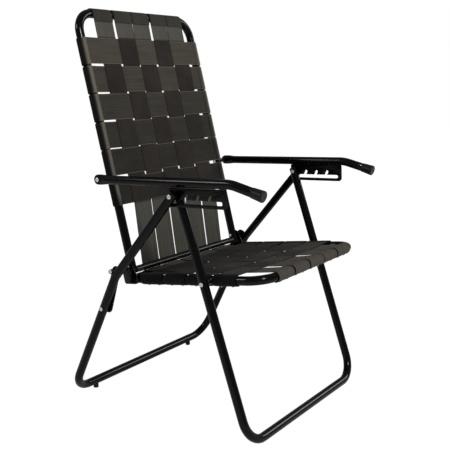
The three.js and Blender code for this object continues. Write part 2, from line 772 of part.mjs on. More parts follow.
// The plate under the arm: the pin rides in its slot and drops into one of its notches
function notchPlate(end) {
  const rear = -pinReach + plateTail;
  const firstCrown = side(-pinReach, -armAbovePin);
  const slotFront = firstCrown.x - (notchCount - 1) * notchPitch - slotPastNotch;
  const front = slotFront - slotWidth / 2 - plateNose;
  const top = -tubeRadius - fit;
  const corners = [side(rear, -plateDepth), side(front, -plateDepth), side(front, top), side(rear, top)];
  const small = plateCorner / 3;
  const shape = new THREE.Shape(roundedOutline(corners, [small, plateCorner, small, small]));
  const slotRear = firstCrown.x + notchSlant;
  const cutter = (from, to, width) => {
    const outline = new THREE.Shape(roundEndedOutline(from, to, width));
    return sidePlate(outline, plateInner - overrun, plateOuter + overrun, end);
  };
  const cutters = [cutter(side(slotRear, -slotDrop), side(slotFront, -slotDrop), slotWidth)];
  for (let notch = 0; notch < notchCount; notch += 1) {
    const crown = step(firstCrown, side(-1, 0), notch * notchPitch);
    cutters.push(cutter(crown, side(crown.x + notchSlant, -slotDrop), notchWidth));
  }
  return cut(sidePlate(shape, plateInner, plateOuter, end), cutters);
}

function makeArms() {
  const arms = new THREE.Group();
  arms.position.copy(at(0, armPivot));
  arms.rotation.x = -armTilt;
  for (const end of sides) {
    arms.add(part(`armrest_${sideNames[end]}`, armTube(end * armHalfWidth), "frame"));
    arms.add(part(`arm_end_cap_${sideNames[end]}`, armCap(end), "plastic"));
    arms.add(part(`notch_plate_${sideNames[end]}`, notchPlate(end), "frame"));
  }
  return arms;
}

// Pivot rivets of the back hinge, and those that fasten the armrests to their posts
function makePivots() {
  const pivots = new THREE.Group();
  const armInner = armHalfWidth - armFlatThickness / 2;
  const armOuter = armHalfWidth + armFlatThickness / 2 + fit;
  for (const end of sides) {
    const hinge = rivet(seatInner - fit, bracketOuter + fit, backHinge, smallRivetHead, smallRivetHead, end);
    pivots.add(part(`back_hinge_rivet_${sideNames[end]}`, hinge, "rivet"));
    const arm = rivet(armInner, armOuter, armPivot, 0, rivetHead, end);
    pivots.add(part(`arm_pivot_rivet_${sideNames[end]}`, arm, "rivet"));
  }
  return pivots;
}

// The whole chair, its box centred over the origin
const chair = new THREE.Group();
for (const make of [makeSeat, makeBack, makeFrontLegs, makeRearLegs, makeLinks, makeArms, makePivots]) {
  chair.add(make());
}
chair.updateMatrixWorld(true);
const bounds = new THREE.Box3().setFromObject(chair, true);
chair.position.set(0, -(bounds.min.y + bounds.max.y) / 2, 0);
chair.updateMatrixWorld(true);

export default chair;
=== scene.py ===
import math
import random

import bmesh
import bpy
import numpy as np
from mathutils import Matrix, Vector


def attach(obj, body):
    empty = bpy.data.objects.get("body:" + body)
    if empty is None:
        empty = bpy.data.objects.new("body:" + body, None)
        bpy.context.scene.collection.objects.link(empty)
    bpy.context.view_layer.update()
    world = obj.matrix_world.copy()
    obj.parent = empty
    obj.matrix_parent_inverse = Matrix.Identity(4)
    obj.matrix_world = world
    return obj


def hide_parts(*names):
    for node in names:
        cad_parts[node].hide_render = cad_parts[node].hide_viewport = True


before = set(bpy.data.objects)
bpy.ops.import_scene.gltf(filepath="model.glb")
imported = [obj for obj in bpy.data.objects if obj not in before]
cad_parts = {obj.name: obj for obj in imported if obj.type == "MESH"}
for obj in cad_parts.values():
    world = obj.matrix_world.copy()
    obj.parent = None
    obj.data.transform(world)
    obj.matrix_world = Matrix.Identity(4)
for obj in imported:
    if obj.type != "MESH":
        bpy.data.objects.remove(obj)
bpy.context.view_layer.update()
random.seed(7)

scene = bpy.context.scene
mm = 0.001
sideNames = {-1: "right", 1: "left"}


def addObject(name, data):
    thing = bpy.data.objects.new(name, data)
    scene.collection.objects.link(thing)
    return thing


def aimObject(thing, place, direction):
    thing.location = place
    thing.rotation_mode = "QUATERNION"
    thing.rotation_quaternion = direction.to_track_quat("-Z", "Y")


# camera
cameraSetup = {"azimuth": -54.668, "elevation": 11.346, "distance": 2.0193, "lens": 60.962, "sensor": 36.0,
               "target": (0.0, -0.00744, 0.4574), "clip": (0.05, 60)}


def makeCamera(setup):
    azimuth, elevation = math.radians(setup["azimuth"]), math.radians(setup["elevation"])
    level = math.cos(elevation)
    back = Vector((math.sin(azimuth) * level, -math.cos(azimuth) * level, math.sin(elevation)))
    data = bpy.data.cameras.new("photoCamera")
    data.lens, data.sensor_width = setup["lens"], setup["sensor"]
    data.clip_start, data.clip_end = setup["clip"]
    scene.camera = addObject("photoCamera", data)
    aimObject(scene.camera, Vector(setup["target"]) + back * setup["distance"], -back)


makeCamera(cameraSetup)
scene.view_settings.view_transform = "Standard"
print("camera placed")


# colours and node helpers
def linear(hexColour):
    values = [int(hexColour[i:i + 2], 16) / 255 for i in (1, 3, 5)]
    return tuple(v / 12.92 if v <= 0.04045 else ((v + 0.055) / 1.055) ** 2.4 for v in values) + (1.0,)


def feed(tree, socket, value):  # a socket is linked, anything else is set
    if isinstance(value, bpy.types.NodeSocket):
        tree.links.new(value, socket)
    else:
        socket.default_value = value


def addNode(tree, kind, inputs=(), **settings):
    node = tree.nodes.new(kind)
    for name, value in settings.items():
        setattr(node, name, value)
    for label, value in dict(inputs).items():
        feed(tree, node.inputs[label], value)
    return node


def mathNode(tree, operation, *values, clamp=False):
    return addNode(tree, "ShaderNodeMath", enumerate(values), operation=operation, use_clamp=clamp).outputs[0]


def product(tree, first, second, clamp=False):
    return mathNode(tree, "MULTIPLY", first, second, clamp=clamp)


def mixColour(tree, factor, first, second, blend="MIX"):
    return addNode(tree, "ShaderNodeMix", {0: factor, 6: first, 7: second},
                   data_type="RGBA", blend_type=blend).outputs[2]


def rangeNode(tree, value, span, result=(0.0, 1.0)):
    return addNode(tree, "ShaderNodeMapRange", enumerate((value, *span, *result))).outputs[0]


def noiseNode(tree, vector, scale, detail=2, roughness=0.5):
    return addNode(tree, "ShaderNodeTexNoise", {"Vector": vector, "Scale": scale, "Detail": detail,
                                                "Roughness": roughness}).outputs[0]


def objectPlace(tree):
    return addNode(tree, "ShaderNodeTexCoord").outputs["Object"]


def newGroup(name, inputs=()):
    group = bpy.data.node_groups.new(name, "ShaderNodeTree")
    for label, value in dict(inputs).items():
        socket = group.interface.new_socket(label, in_out="INPUT", socket_type="NodeSocketFloat")
        socket.default_value = value
    return group, addNode(group, "NodeGroupInput").outputs


def closeGroup(group, outputs):
    for label in outputs:
        group.interface.new_socket(label, in_out="OUTPUT", socket_type="NodeSocketFloat")
    addNode(group, "NodeGroupOutput", outputs)
    return group


# edge wear: rubbed corners, broken up by noise
wearPattern = {"scale": 60.0, "amount": 0.5, "edge": (0.53, 0.62), "broken": (0.45, 0.62), "detail": 6}


def makeWearGroup(look):
    group, entry = newGroup("edgeWear", {"Amount": look["amount"], "Scale": look["scale"]})
    corner = addNode(group, "ShaderNodeNewGeometry").outputs["Pointiness"]
    noise = noiseNode(group, objectPlace(group), entry["Scale"], look["detail"])
    mask = product(group, rangeNode(group, corner, look["edge"]), rangeNode(group, noise, look["broken"]))
    return closeGroup(group, {"Mask": product(group, mask, entry["Amount"], clamp=True)})


# dust and handling marks: broad soft patches and fine specks
dustPattern = {"scale": 9.0, "amount": 1.0, "patches": (0.35, 0.7), "detail": 4, "roughness": 0.6,
               "specks": (0.62, 0.75), "speckScale": 900, "upward": (0.2, 1.0)}


def makeDustGroup(look):
    group, entry = newGroup("softDust", {"Scale": look["scale"], "Amount": look["amount"]})
    place = objectPlace(group)
    broad = noiseNode(group, place, entry["Scale"], look["detail"], look["roughness"])
    fine = noiseNode(group, place, look["speckScale"])
    normal = addNode(group, "ShaderNodeNewGeometry").outputs["Normal"]
    height = addNode(group, "ShaderNodeSeparateXYZ", {0: normal}).outputs[2]
    masks = {}
    for label, value in {"Patches": broad, "Specks": fine, "Upward": height}.items():
        mask = rangeNode(group, value, look[label.lower()])
        masks[label] = product(group, mask, entry["Amount"], clamp=True)
    return closeGroup(group, masks)


# webbing weave: u runs across the strap from 0 to 1, v runs along it in metres
weavePattern = {"ribs": 26.0, "pick": 0.0021, "ribShare": 0.6, "pickShare": 0.4, "grooveShade": (-0.9, 0.2),
                "selvedge": 0.035, "edge": (0.35, 1.1), "streakScale": (52.0, 5.0), "streakDetail": 5,
                "streakRoughness": 0.65, "heatherScale": (95.0, 420.0), "heatherDetail": 2}


def makeWeaveGroup(look):
    group, _ = newGroup("strapWeave")
    mapped = addNode(group, "ShaderNodeUVMap", uv_map="strapUv").outputs[0]
    split = addNode(group, "ShaderNodeSeparateXYZ", {0: mapped}).outputs
    u, v = split[0], split[1]

    def stretched(scales):
        scaled = [product(group, value, scale) for value, scale in zip((u, v), scales)]
        return addNode(group, "ShaderNodeCombineXYZ", enumerate(scaled)).outputs[0]

    ribs = product(group, u, look["ribs"])
    rib = mathNode(group, "COSINE", product(group, ribs, math.tau))
    stagger = product(group, mathNode(group, "FLOOR", mathNode(group, "ADD", ribs, 0.5)), math.pi)
    picks = product(group, mathNode(group, "DIVIDE", v, look["pick"]), math.tau)
    pick = mathNode(group, "SINE", mathNode(group, "ADD", picks, stagger))
    ribHeight, pickHeight = product(group, rib, look["ribShare"]), product(group, pick, look["pickShare"])
    height = mathNode(group, "ADD", ribHeight, pickHeight)
    fromEdge = mathNode(group, "MINIMUM", u, mathNode(group, "SUBTRACT", 1.0, u))
    fromEdge = mathNode(group, "DIVIDE", fromEdge, look["selvedge"])
    streaks = {0: stretched(look["streakScale"]), 1: objectPlace(group)}
    shifted = addNode(group, "ShaderNodeVectorMath", streaks, operation="ADD").outputs[0]
    return closeGroup(group, {
        "Height": height,
        "GrooveShade": rangeNode(group, height, look["grooveShade"], (1.0, 0.0)),
        "Edge": rangeNode(group, fromEdge, look["edge"], (1.0, 0.0)),
        "Streak": noiseNode(group, shifted, 1.0, look["streakDetail"], look["streakRoughness"]),
        "Heather": noiseNode(group, stretched(look["heatherScale"]), 1.0, look["heatherDetail"])})


wearGroup = makeWearGroup(wearPattern)
dustGroup = makeDustGroup(dustPattern)
weaveGroup = makeWeaveGroup(weavePattern)


def useGroup(tree, group, **values):
    return addNode(tree, "ShaderNodeGroup", values, node_tree=group).outputs


def newMaterial(name, **sockets):
    material = bpy.data.materials.new(name)
    material.use_nodes = True
    tree = material.node_tree
    shader = tree.nodes["Principled BSDF"].inputs
    for label, value in sockets.items():
        shader[label.replace("_", " ")].default_value = value
    return material, tree, shader


def finishMaterial(tree, shader, colour, roughness, relief=None, bump=()):
    feed(tree, shader["Base Color"], colour)
    feed(tree, shader["Roughness"], roughness)
    if relief is not None:
        strength, distance = bump
        node = addNode(tree, "ShaderNodeBump", {"Height": relief, "Strength": strength, "Distance": distance})
        feed(tree, shader["Normal"], node.outputs[0])


# finishes
coatLook = {"black": "#030303", "worn": "#1f1f20", "dust": "#1f1e1c", "gloss": 0.15, "roughness": 0.14,
            "dustScale": 14.0, "dustAmount": 0.6, "dustShare": 0.16, "dustRough": 0.1,
            "wearScale": 170.0, "wearAmount": 0.55, "wearRough": 0.2,
            "peelScale": 420, "peelBump": (0.12, 0.0004)}
plateLook = dict(coatLook, worn="#38383a", dust="#171615", roughness=0.15)


def makeCoatMaterial(name, look):
    material, tree, shader = newMaterial(name, Specular_IOR_Level=look["gloss"])
    dust = useGroup(tree, dustGroup, Scale=look["dustScale"], Amount=look["dustAmount"])
    worn = useGroup(tree, wearGroup, Scale=look["wearScale"], Amount=look["wearAmount"])["Mask"]
    dusty = product(tree, product(tree, dust["Patches"], dust["Upward"]), look["dustShare"])
    base = mixColour(tree, dusty, linear(look["black"]), linear(look["dust"]))
    base = mixColour(tree, worn, base, linear(look["worn"]))
    rough = mathNode(tree, "MULTIPLY_ADD", dust["Patches"], look["dustRough"], look["roughness"])
    rough = mathNode(tree, "MULTIPLY_ADD", worn, look["wearRough"], rough)
    peel = noiseNode(tree, objectPlace(tree), look["peelScale"])
    finishMaterial(tree, shader, base, rough, peel, look["peelBump"])
    return material


# an edge tone is the colour of a strap's edge and how far it covers: a dark seam on most straps, a painted
# highlight on the edges of the back's rows
webbingLook = {
    "acrossTop": "#433f37", "acrossLow": "#1b1a17", "alongWoven": "#211b18", "alongFree": "#4b4a43",
    # the seat's rows darken from seatFront to seatRearShade: painted shade towards the back
    "seatFront": "#33302c", "seatRearShade": "#151413", "seatAlong": "#221f1c", "seatWrapHighlight": "#46413b",
    "gloss": 0.1, "sheen": 0.02, "sheenRoughness": 0.4, "streak": (0.3, 0.7), "light": (0.45, 1.55),
    "roughness": (0.62, 0.8), "fleck": "#77736a", "fleckSpan": (0.55, 0.75), "fleckShare": 0.2,
    "dust": "#6b675e", "dustScale": 11.0, "dustShare": 0.07, "grooveShade": "#161412", "grooveShare": 0.35,
    "edgeTone": ("#171513", 0.6), "rowEdgeHighlight": ("#6a6053", 0.5), "sideHighlight": "#77736a", "bandSpan": (0.35, 0.6),
    "bandShare": (0.35, 0.9), "outerSideShade": "#080707", "bump": (0.55, 0.0005)}


def makeWebbingMaterial(name, colour, freeColour, look, edgeTone):
    material, tree, shader = newMaterial(name, Specular_IOR_Level=look["gloss"], Sheen_Weight=look["sheen"],
                                         Sheen_Roughness=look["sheenRoughness"])
    weave = useGroup(tree, weaveGroup)
    dust = useGroup(tree, dustGroup, Scale=look["dustScale"], Amount=1.0)
    freeRun, sideHighlight, outerSideShade = [addNode(tree, "ShaderNodeAttribute", attribute_name=label).outputs["Fac"]
                                    for label in ("freeRun", "sideHighlight", "outerSideShade")]
    base = mixColour(tree, freeRun, linear(colour), linear(freeColour))
    light = rangeNode(tree, weave["Streak"], look["streak"], look["light"])
    tint = addNode(tree, "ShaderNodeCombineColor", enumerate([light] * 3)).outputs[0]
    base = mixColour(tree, 1.0, base, tint, "MULTIPLY")
    edgeToneColour, edgeToneShare = edgeTone
    # the painted side highlight is broken up by the heather noise
    highlightSpeckle = rangeNode(tree, weave["Heather"], look["bandSpan"], look["bandShare"])
    layers = (
        (rangeNode(tree, weave["Heather"], look["fleckSpan"], (0.0, look["fleckShare"])), look["fleck"]),
        (product(tree, dust["Patches"], look["dustShare"]), look["dust"]),
        # painted shade in the weave's grooves, where the woven surface is lowest
        (product(tree, weave["GrooveShade"], look["grooveShare"]), look["grooveShade"]),
        (product(tree, weave["Edge"], edgeToneShare), edgeToneColour),
        (product(tree, sideHighlight, highlightSpeckle), look["sideHighlight"]),
        (outerSideShade, look["outerSideShade"]))
    for share, tone in layers:
        base = mixColour(tree, share, base, linear(tone))
    rough = rangeNode(tree, weave["Streak"], look["streak"], look["roughness"])
    finishMaterial(tree, shader, base, rough, weave["Height"], look["bump"])
    return material


zincLook = {"bright": "#d9d9d6", "dull": "#a7a6a1", "speck": "#6e6a63", "speckShare": 0.5, "metal": 0.6,
            "gloss": 0.5, "dustScale": 160.0, "roughness": (0.22, 0.42)}


def makeZincMaterial(look):
    material, tree, shader = newMaterial("zincRivet", Metallic=look["metal"],
                                         Specular_IOR_Level=look["gloss"])
    dust = useGroup(tree, dustGroup, Scale=look["dustScale"], Amount=1.0)
    base = mixColour(tree, dust["Patches"], linear(look["bright"]), linear(look["dull"]))
    base = mixColour(tree, product(tree, dust["Specks"], look["speckShare"]), base, linear(look["speck"]))
    finishMaterial(tree, shader, base, rangeNode(tree, dust["Patches"], (0.0, 1.0), look["roughness"]))
    return material


plasticLook = {"gloss": 0.2, "dustScale": 30.0, "dustAmount": 0.8, "dustShare": 0.3, "dustRough": 0.15,
               "wearScale": 90.0, "wearAmount": 0.5, "bump": (0.15, 0.0003)}
capLook = dict(plasticLook, dark="#0b0a0a", light="#221e1d", roughness=0.34, grain=900)
glideLook = dict(plasticLook, dark="#141414", light="#3c3a37", roughness=0.55, grain=700)


def makePlasticMaterial(name, look):
    material, tree, shader = newMaterial(name, Specular_IOR_Level=look["gloss"])
    dust = useGroup(tree, dustGroup, Scale=look["dustScale"], Amount=look["dustAmount"])["Patches"]
    worn = useGroup(tree, wearGroup, Scale=look["wearScale"], Amount=look["wearAmount"])["Mask"]
    dusty = product(tree, dust, look["dustShare"])
    base = mixColour(tree, dusty, linear(look["dark"]), linear(look["light"]))
    base = mixColour(tree, worn, base, linear(look["light"]))
    rough = mathNode(tree, "MULTIPLY_ADD", dust, look["dustRough"], look["roughness"])
    grain = addNode(tree, "ShaderNodeTexVoronoi", {"Vector": objectPlace(tree), "Scale": look["grain"]})
    finishMaterial(tree, shader, base, rough, grain.outputs["Distance"], look["bump"])
    return material


coat = makeCoatMaterial("blackPowderCoat", coatLook)
plateCoat = makeCoatMaterial("blackPlateCoat", plateLook)
zinc = makeZincMaterial(zincLook)
capPlastic = makePlasticMaterial("armCapPlastic", capLook)
glidePlastic = makePlasticMaterial("glidePlastic", glideLook)
print("materials made")


# side view of the chair at rest: [back, height], lengths in metres and leans in degrees
layout = {"shift": -7.438816 * mm, "tube": 11 * mm, "tubeFacets": 12, "halfSeat": 224 * mm,
          "halfFront": 262.4 * mm, "halfRear": 287.5 * mm, "halfArm": 271.1 * mm, "pinForward": 55.4 * mm,
          "pinHeight": 577.2 * mm, "frontLean": 19.48, "seatDrop": 212.9 * mm, "rearUpper": 286.7 * mm,
          "rearUpperLean": 39.98, "rearLowerLean": 25.83, "rearFootHeight": 21.2 * mm, "linkDrop": 96 * mm,
          "stubAside": 17.5 * mm, "stubUp": 2.8 * mm, "seatSlope": 8.08, "hingeReach": 255 * mm,
          "hingeRise": 35.7 * mm, "backLean": 15.02, "armUp": 226.2 * mm, "armAbovePin": 30 * mm}
tubeRadius, halfSeat = layout["tube"], layout["halfSeat"]


def lean(angle, sign=1):
    return Vector((sign * math.sin(math.radians(angle)), -math.cos(math.radians(angle))))


pin = Vector((-layout["pinForward"] + layout["shift"], layout["pinHeight"]))
frontDown = lean(layout["frontLean"], -1)
frontFootHeight = tubeRadius * math.cos(math.pi / layout["tubeFacets"])
frontFoot = pin + frontDown * ((pin.y - frontFootHeight) / -frontDown.y)
seatPivot = pin + frontDown * layout["seatDrop"]
slope = math.radians(layout["seatSlope"])
seatBack, seatUp = Vector((math.cos(slope), -math.sin(slope))), Vector((math.sin(slope), math.cos(slope)))
backHinge = seatPivot + seatBack * layout["hingeReach"] + seatUp * layout["hingeRise"]
backUp = -lean(layout["backLean"], -1)
backFront = Vector((-backUp.y, backUp.x))
armPivot = backHinge + backUp * layout["armUp"]
rearUpperDown, rearLowerDown = lean(layout["rearUpperLean"]), lean(layout["rearLowerLean"])
rearUpperAside = Vector((-rearUpperDown.y, rearUpperDown.x))
rearCrank = pin + rearUpperDown * layout["rearUpper"]
rearFoot = rearCrank + rearLowerDown * ((rearCrank.y - layout["rearFootHeight"]) / -rearLowerDown.y)
linkLower = rearCrank + rearLowerDown * layout["linkDrop"]
linkUpper = rearCrank + rearUpperAside * layout["stubAside"] - rearUpperDown * layout["stubUp"]
pinOffset = pin - armPivot
armTilt = math.atan2(pinOffset.y, -pinOffset.x) + math.asin(layout["armAbovePin"] / pinOffset.length)
armBack = Vector((math.cos(armTilt), -math.sin(armTilt)))
armRise = Vector((math.sin(armTilt), math.cos(armTilt)))


def placeAt(x, point):
    return Vector((x, point.x, point.y))


class Panel:  # a plane that holds webbing: along its side tubes, across the chair, and up from it
    def __init__(self, origin, along, up):
        self.origin, self.along, self.up = placeAt(0, origin), placeAt(0, along), placeAt(0, up)

    def point(self, x, along, height):
        return self.origin + Vector((x, 0, 0)) + self.along * along + self.up * height


seatPanel = Panel(seatPivot, seatBack, seatUp)
backPanel = Panel(backHinge, backUp, backFront)


# mesh helpers
def meshObject(name, vertices, faces, material, smooth=True):
    mesh = bpy.data.meshes.new(name)
    mesh.from_pydata([tuple(v) for v in vertices], [], faces)
    mesh.validate()
    mesh.update()
    mesh.materials.append(material)
    mesh.polygons.foreach_set("use_smooth", [smooth] * len(mesh.polygons))
    return addObject(name, mesh)


def plainCopy(piece, name):  # the evaluated mesh, with every modifier left behind
    graph = bpy.context.evaluated_depsgraph_get()
    mesh = bpy.data.meshes.new_from_object(piece.evaluated_get(graph), depsgraph=graph)
    mesh.name = name
    plain = addObject(name, mesh)
    bpy.data.objects.remove(piece, do_unlink=True)
    return plain


weldDistance = 1e-6


def fixNormals(piece, weld=0.0):  # a weld distance joins vertices that meet first
    bm = bmesh.new()
    bm.from_mesh(piece.data)
    if weld:
        bmesh.ops.remove_doubles(bm, verts=bm.verts, dist=weld)
    bmesh.ops.recalc_face_normals(bm, faces=bm.faces)
    bm.to_mesh(piece.data)
    bm.free()


def smoothStep(value):
    value = min(max(value, 0.0), 1.0)
    return value * value * (3 - 2 * value)


def settle(piece, body, slot, nodes=()):
    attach(piece, body)
    if nodes:
        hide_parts(*nodes)


def roundedPath(corners, radii, steps):
    points, headings = [], []
    last = len(corners) - 1
    for index, corner in enumerate(corners):
        if index in (0, last):
            near = corners[1] - corner if index == 0 else corner - corners[last - 1]
            points.append(corner.copy())
            headings.append(near.normalized())
            continue
        arriving = (corner - corners[index - 1]).normalized()
        leaving = (corners[index + 1] - corner).normalized()
        radius, turn = radii[index - 1], arriving.angle(leaving)
        start = corner - arriving * radius * math.tan(turn / 2)
        inward = (leaving - arriving * math.cos(turn)).normalized()
        for count in range(steps + 1):
            angle = turn * count / steps
            sine, cosine = math.sin(angle), math.cos(angle)
            points.append(start + arriving * radius * sine + inward * radius * (1 - cosine))
            headings.append(arriving * cosine + inward * sine)
    return points, headings


def ringFaces(rings, sides):  # quads between rings of vertices that follow one another
    faces = []
    for r in range(rings - 1):
        for k in range(sides):
            n = (k + 1) % sides
            faces.append((r * sides + k, r * sides + n, (r + 1) * sides + n, (r + 1) * sides + k))
    return faces


# bent tubes: Geometry Nodes sweep a round section along each bend line, with a low dome over each end
tubeSweep = {"sides": 32, "bendSteps": 12, "crown": 2.5 * mm,
             "dome": ((0.25, 1.0), (0.55, 0.93), (0.8, 0.76), (0.95, 0.45), (1.0, 0.02))}


def newGeometryTree(name, inputs):
    tree = bpy.data.node_groups.new(name, "GeometryNodeTree")
    for label, kind in {"Geometry": "Geometry", **inputs}.items():
        tree.interface.new_socket(label, in_out="INPUT", socket_type="NodeSocket" + kind)
    tree.interface.new_socket("Geometry", in_out="OUTPUT", socket_type="NodeSocketGeometry")
    return tree, addNode(tree, "NodeGroupInput").outputs


def closeGeometryTree(tree, geometry, material):
    realized = addNode(tree, "GeometryNodeRealizeInstances", {0: geometry}).outputs[0]
    painted = addNode(tree, "GeometryNodeSetMaterial", {0: realized, "Material": material}).outputs[0]
    addNode(tree, "NodeGroupOutput", {0: painted})
    return tree


def namedAttribute(tree, name, kind):
    node = addNode(tree, "GeometryNodeInputNamedAttribute", {"Name": name}, data_type=kind)
    return node.outputs["Attribute"]


def makeTubeTree():
    tree, entry = newGeometryTree("bentTube", {"Radius": "Float", "Sides": "Int", "Material": "Material"})
    line = addNode(tree, "GeometryNodeMeshToCurve", {0: entry["Geometry"]}).outputs[0]
    circle = addNode(tree, "GeometryNodeCurvePrimitiveCircle",
                     {"Radius": entry["Radius"], "Resolution": entry["Sides"]}).outputs[0]
    sweep = addNode(tree, "GeometryNodeCurveToMesh",
                    {"Curve": line, "Profile Curve": circle, "Scale": namedAttribute(tree, "swell", "FLOAT"),
                     "Fill Caps": True}).outputs[0]
    smooth = addNode(tree, "GeometryNodeSetShadeSmooth", {0: sweep}).outputs[0]
    return closeGeometryTree(tree, smooth, entry["Material"])


def runTree(piece, tree, name, values):
    modifier = piece.modifiers.new("shape", "NODES")
    modifier.node_group = tree
    for item in tree.interface.items_tree:
        if item.item_type == "SOCKET" and item.in_out == "INPUT" and item.name in values:
            modifier[item.identifier] = values[item.name]
    return plainCopy(piece, name)


tubeTree = makeTubeTree()


def bentTube(name, corners, radii, radius, crowned=True):
    points, headings = roundedPath(corners, radii, tubeSweep["bendSteps"])
    swell = [1.0] * len(points)
    if crowned:
        crown, dome = tubeSweep["crown"], tubeSweep["dome"]
        head = [points[0] - headings[0] * crown * height for height, _ in reversed(dome)]
        tail = [points[-1] + headings[-1] * crown * height for height, _ in dome]
        points = head + points + tail
        swell = [share for _, share in reversed(dome)] + swell + [share for _, share in dome]
    mesh = bpy.data.meshes.new(name)
    mesh.from_pydata([tuple(p) for p in points], [(i, i + 1) for i in range(len(points) - 1)], [])
    mesh.attributes.new("swell", "FLOAT", "POINT").data.foreach_set("value", swell)
    tube = runTree(addObject(name + "Line", mesh), tubeTree, name,
                   {"Radius": radius, "Sides": tubeSweep["sides"], "Material": coat})
    fixNormals(tube)
    return tube


# frames: a crossbar's ends sink a little into the side tubes
seatTubes = {"front": -142 * mm, "rear": 263.5 * mm, "bend": 52 * mm, "rearBar": 254 * mm, "sink": 0.6 * mm}
backTubes = {"tail": -17.5 * mm, "top": 646.8 * mm, "bend": 50 * mm, "barDrop": 14 * mm, "bar": 8.6 * mm,
             "sink": 1.2 * mm}
legTubes = {"pastPin": 9 * mm, "frontBend": 58 * mm, "rearBend": 58 * mm, "crankBend": 90 * mm}


def makeFrameTube(body, panel, mouth, bow, bend):  # a U of tube from its mouth to its bow
    corners = [panel.point(x, along, 0) for x, along in
               ((-halfSeat, mouth), (-halfSeat, bow), (halfSeat, bow), (halfSeat, mouth))]
    tube = bentTube(f"{body}FrameTube", corners, [bend] * 2, tubeRadius)
    settle(tube, body, "tube_frame", [f"{body}_frame"])


def makeCrossbar(name, body, panel, along, radius, sink, node):
    ends = [panel.point(end * (halfSeat - tubeRadius + sink), along, 0) for end in (-1, 1)]
    settle(bentTube(name, ends, [], radius, False), body, "tube_frame", [node])


def makeLeg(name, body, half, line, bends, node):  # the line runs from the pin to the foot in side view
    corners = [placeAt(-half, point) for point in line] + [placeAt(half, point) for point in reversed(line)]
    settle(bentTube(name, corners, bends, tubeRadius), body, "tube_frame", [node])


def makeFrames(seat, back, legs):
    makeFrameTube("seat", seatPanel, seat["rear"], seat["front"], seat["bend"])
    makeCrossbar("seatRearBar", "seat", seatPanel, seat["rearBar"], tubeRadius, seat["sink"], "seat_rear_bar")
    makeFrameTube("back", backPanel, back["tail"], back["top"], back["bend"])
    makeCrossbar("backBottomBar", "back", backPanel, -back["barDrop"], back["bar"], back["sink"],
                 "back_bottom_bar")
    line, bends = [pin - frontDown * legs["pastPin"], frontFoot], [legs["frontBend"]] * 2
    makeLeg("frontLegTube", "front_legs", layout["halfFront"], line, bends, "front_leg_frame")
    line = [pin - rearUpperDown * legs["pastPin"], rearCrank, rearFoot]
    bends = [legs["crankBend"], legs["rearBend"], legs["rearBend"], legs["crankBend"]]
    makeLeg("rearLegTube", "rear_legs", layout["halfRear"], line, bends, "rear_leg_frame")


makeFrames(seatTubes, backTubes, legTubes)
print("tube frames made")


# armrests: a tube pressed thin at its pivot end, with a rounded tip in the side view
armShape = {"tail": 12.5 * mm, "tailGap": 0.2 * mm, "tailRings": 6, "flatReach": 8 * mm,
            "pressReach": 34 * mm, "pressRings": 8, "flatThick": 13 * mm, "flatTall": 25.4 * mm,
            "squareness": 2.4, "tipTall": 0.02, "tipThin": 0.35, "bendReach": 398 * mm, "droop": 16.0,
            "tip": 84 * mm, "bend": 95 * mm, "bendSteps": 10, "sides": 32}


def armPoint(x, back, rise):
    return placeAt(x, armPivot + armBack * back + armRise * rise)


def armSection(point, heading, back, size):
    press = smoothStep((back + size["pressReach"]) / (size["pressReach"] - size["flatReach"]))
    halfThick = tubeRadius * (1 - press) + size["flatThick"] / 2 * press
    halfTall = tubeRadius * (1 - press) + size["flatTall"] / 2 * press
    if back > 0:
        share, least = back / size["tail"], size["tipTall"]
        halfTall *= math.sqrt(max(1 - share ** 2, least)) * (1 - least) + least
        halfThick *= 1 - size["tipThin"] * share ** 4
    up = -Vector((1, 0, 0)).cross(heading).normalized()
    power = 2 / (2 + size["squareness"] * press)
    ring = []
    for k in range(size["sides"]):
        angle = math.tau * k / size["sides"]
        wide = math.copysign(abs(math.cos(angle)) ** power, math.cos(angle))
        high = math.copysign(abs(math.sin(angle)) ** power, math.sin(angle))
        ring.append(point + Vector((halfThick * wide, 0, 0)) + up * halfTall * high)
    return ring


def makeArm(side, size):
    x, droop, sides = side * layout["halfArm"], math.radians(size["droop"]), size["sides"]
    bend = armPoint(x, -size["bendReach"], 0)
    tip = armPoint(x, -size["bendReach"] - size["tip"] * math.cos(droop), -size["tip"] * math.sin(droop))
    points, headings = roundedPath([armPoint(x, -size["pressReach"], 0), bend, tip], [size["bend"]],
                                   size["bendSteps"])
    places = [size["tail"] - size["tailGap"]]
    places += [size["tail"] * (1 - k / size["tailRings"]) for k in range(1, size["tailRings"])] + [0.0]
    places += [-size["flatReach"] - (size["pressReach"] - size["flatReach"]) * k / size["pressRings"]
               for k in range(size["pressRings"])]
    rings = [(armPoint(x, back, 0), placeAt(0, -armBack), back) for back in places]
    rings += [(point, heading, -size["bendReach"]) for point, heading in zip(points, headings)]
    vertices = [vertex for ring in rings for vertex in armSection(*ring, size)]
    faces = ringFaces(len(rings), sides)
    faces += [tuple(range(sides)), tuple(reversed(range(len(vertices) - sides, len(vertices))))]
    arm = meshObject(f"armrestTube{sideNames[side].title()}", vertices, faces, coat)
    fixNormals(arm, weldDistance)
    settle(arm, "arms", "tube_frame", [f"armrest_{sideNames[side]}"])
    return tip, headings[-1]


